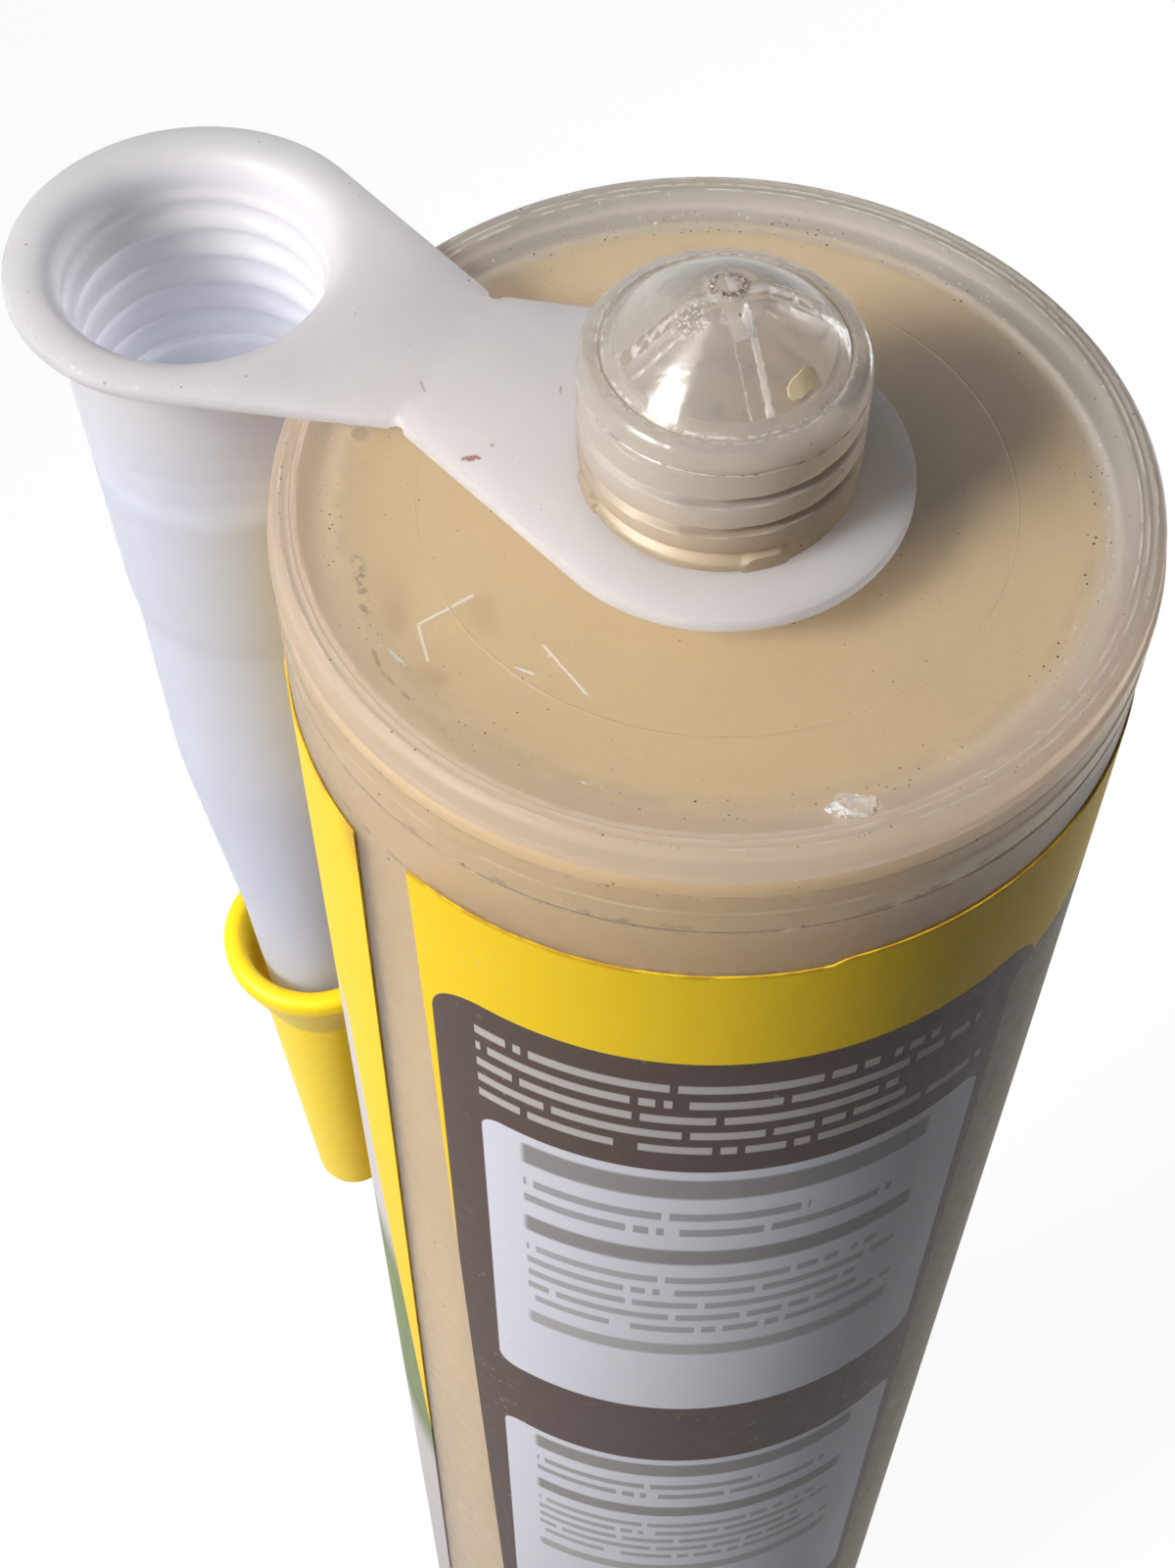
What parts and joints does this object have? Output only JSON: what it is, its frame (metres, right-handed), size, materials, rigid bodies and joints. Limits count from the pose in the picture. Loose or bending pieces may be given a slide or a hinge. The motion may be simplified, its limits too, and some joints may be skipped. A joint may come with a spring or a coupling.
{
  "type": "sealant cartridge",
  "caption": "Round plastic caulk cartridge with a closed threaded nipple, a sliding piston, a wrapped label and a capped spare nozzle hanging on a strap.",
  "frame": {"origin": "centre of the open rear end, on the plane that the cartridge stands on", "axes": "+Z along the tube's axis from the rear end to the nipple; the nozzle hangs towards -X"},
  "size_m": [0.0701, 0.0498, 0.2295],
  "materials": {
    "clear_plastic": "translucent polyethylene over beige sealant",
    "milky_plastic": "milky translucent polyethylene, satin",
    "yellow_plastic": "satin",
    "label_film": "printed film, fields of yellow, brown-grey and white",
    "sealant": "smooth paste",
    "piston_plastic": "satin"
  },
  "bodies": {
    "tube": {"cartridge": "clear_plastic", "label": "label_film", "sealant_fill": "sealant"},
    "nozzle": {"nozzle": "milky_plastic"},
    "cap": {"nozzle_cap": "yellow_plastic"},
    "piston": {"piston": "piston_plastic"}
  },
  "joints": [
    {"name": "nozzle_swivel", "type": "hinge", "parent": "tube", "child": "nozzle", "pos_m": [0, 0, 0.215], "axis": [0, 0, 1], "continuous": true},
    {"name": "cap_slide", "type": "slide", "parent": "nozzle", "child": "cap", "axis": [0, 0, -1], "range_m": [0, 0.045]},
    {"name": "piston_slide", "type": "slide", "parent": "tube", "child": "piston", "axis": [0, 0, 1], "range_m": [0, 0.179], "deforming": ["sealant_fill"]}
  ]
}
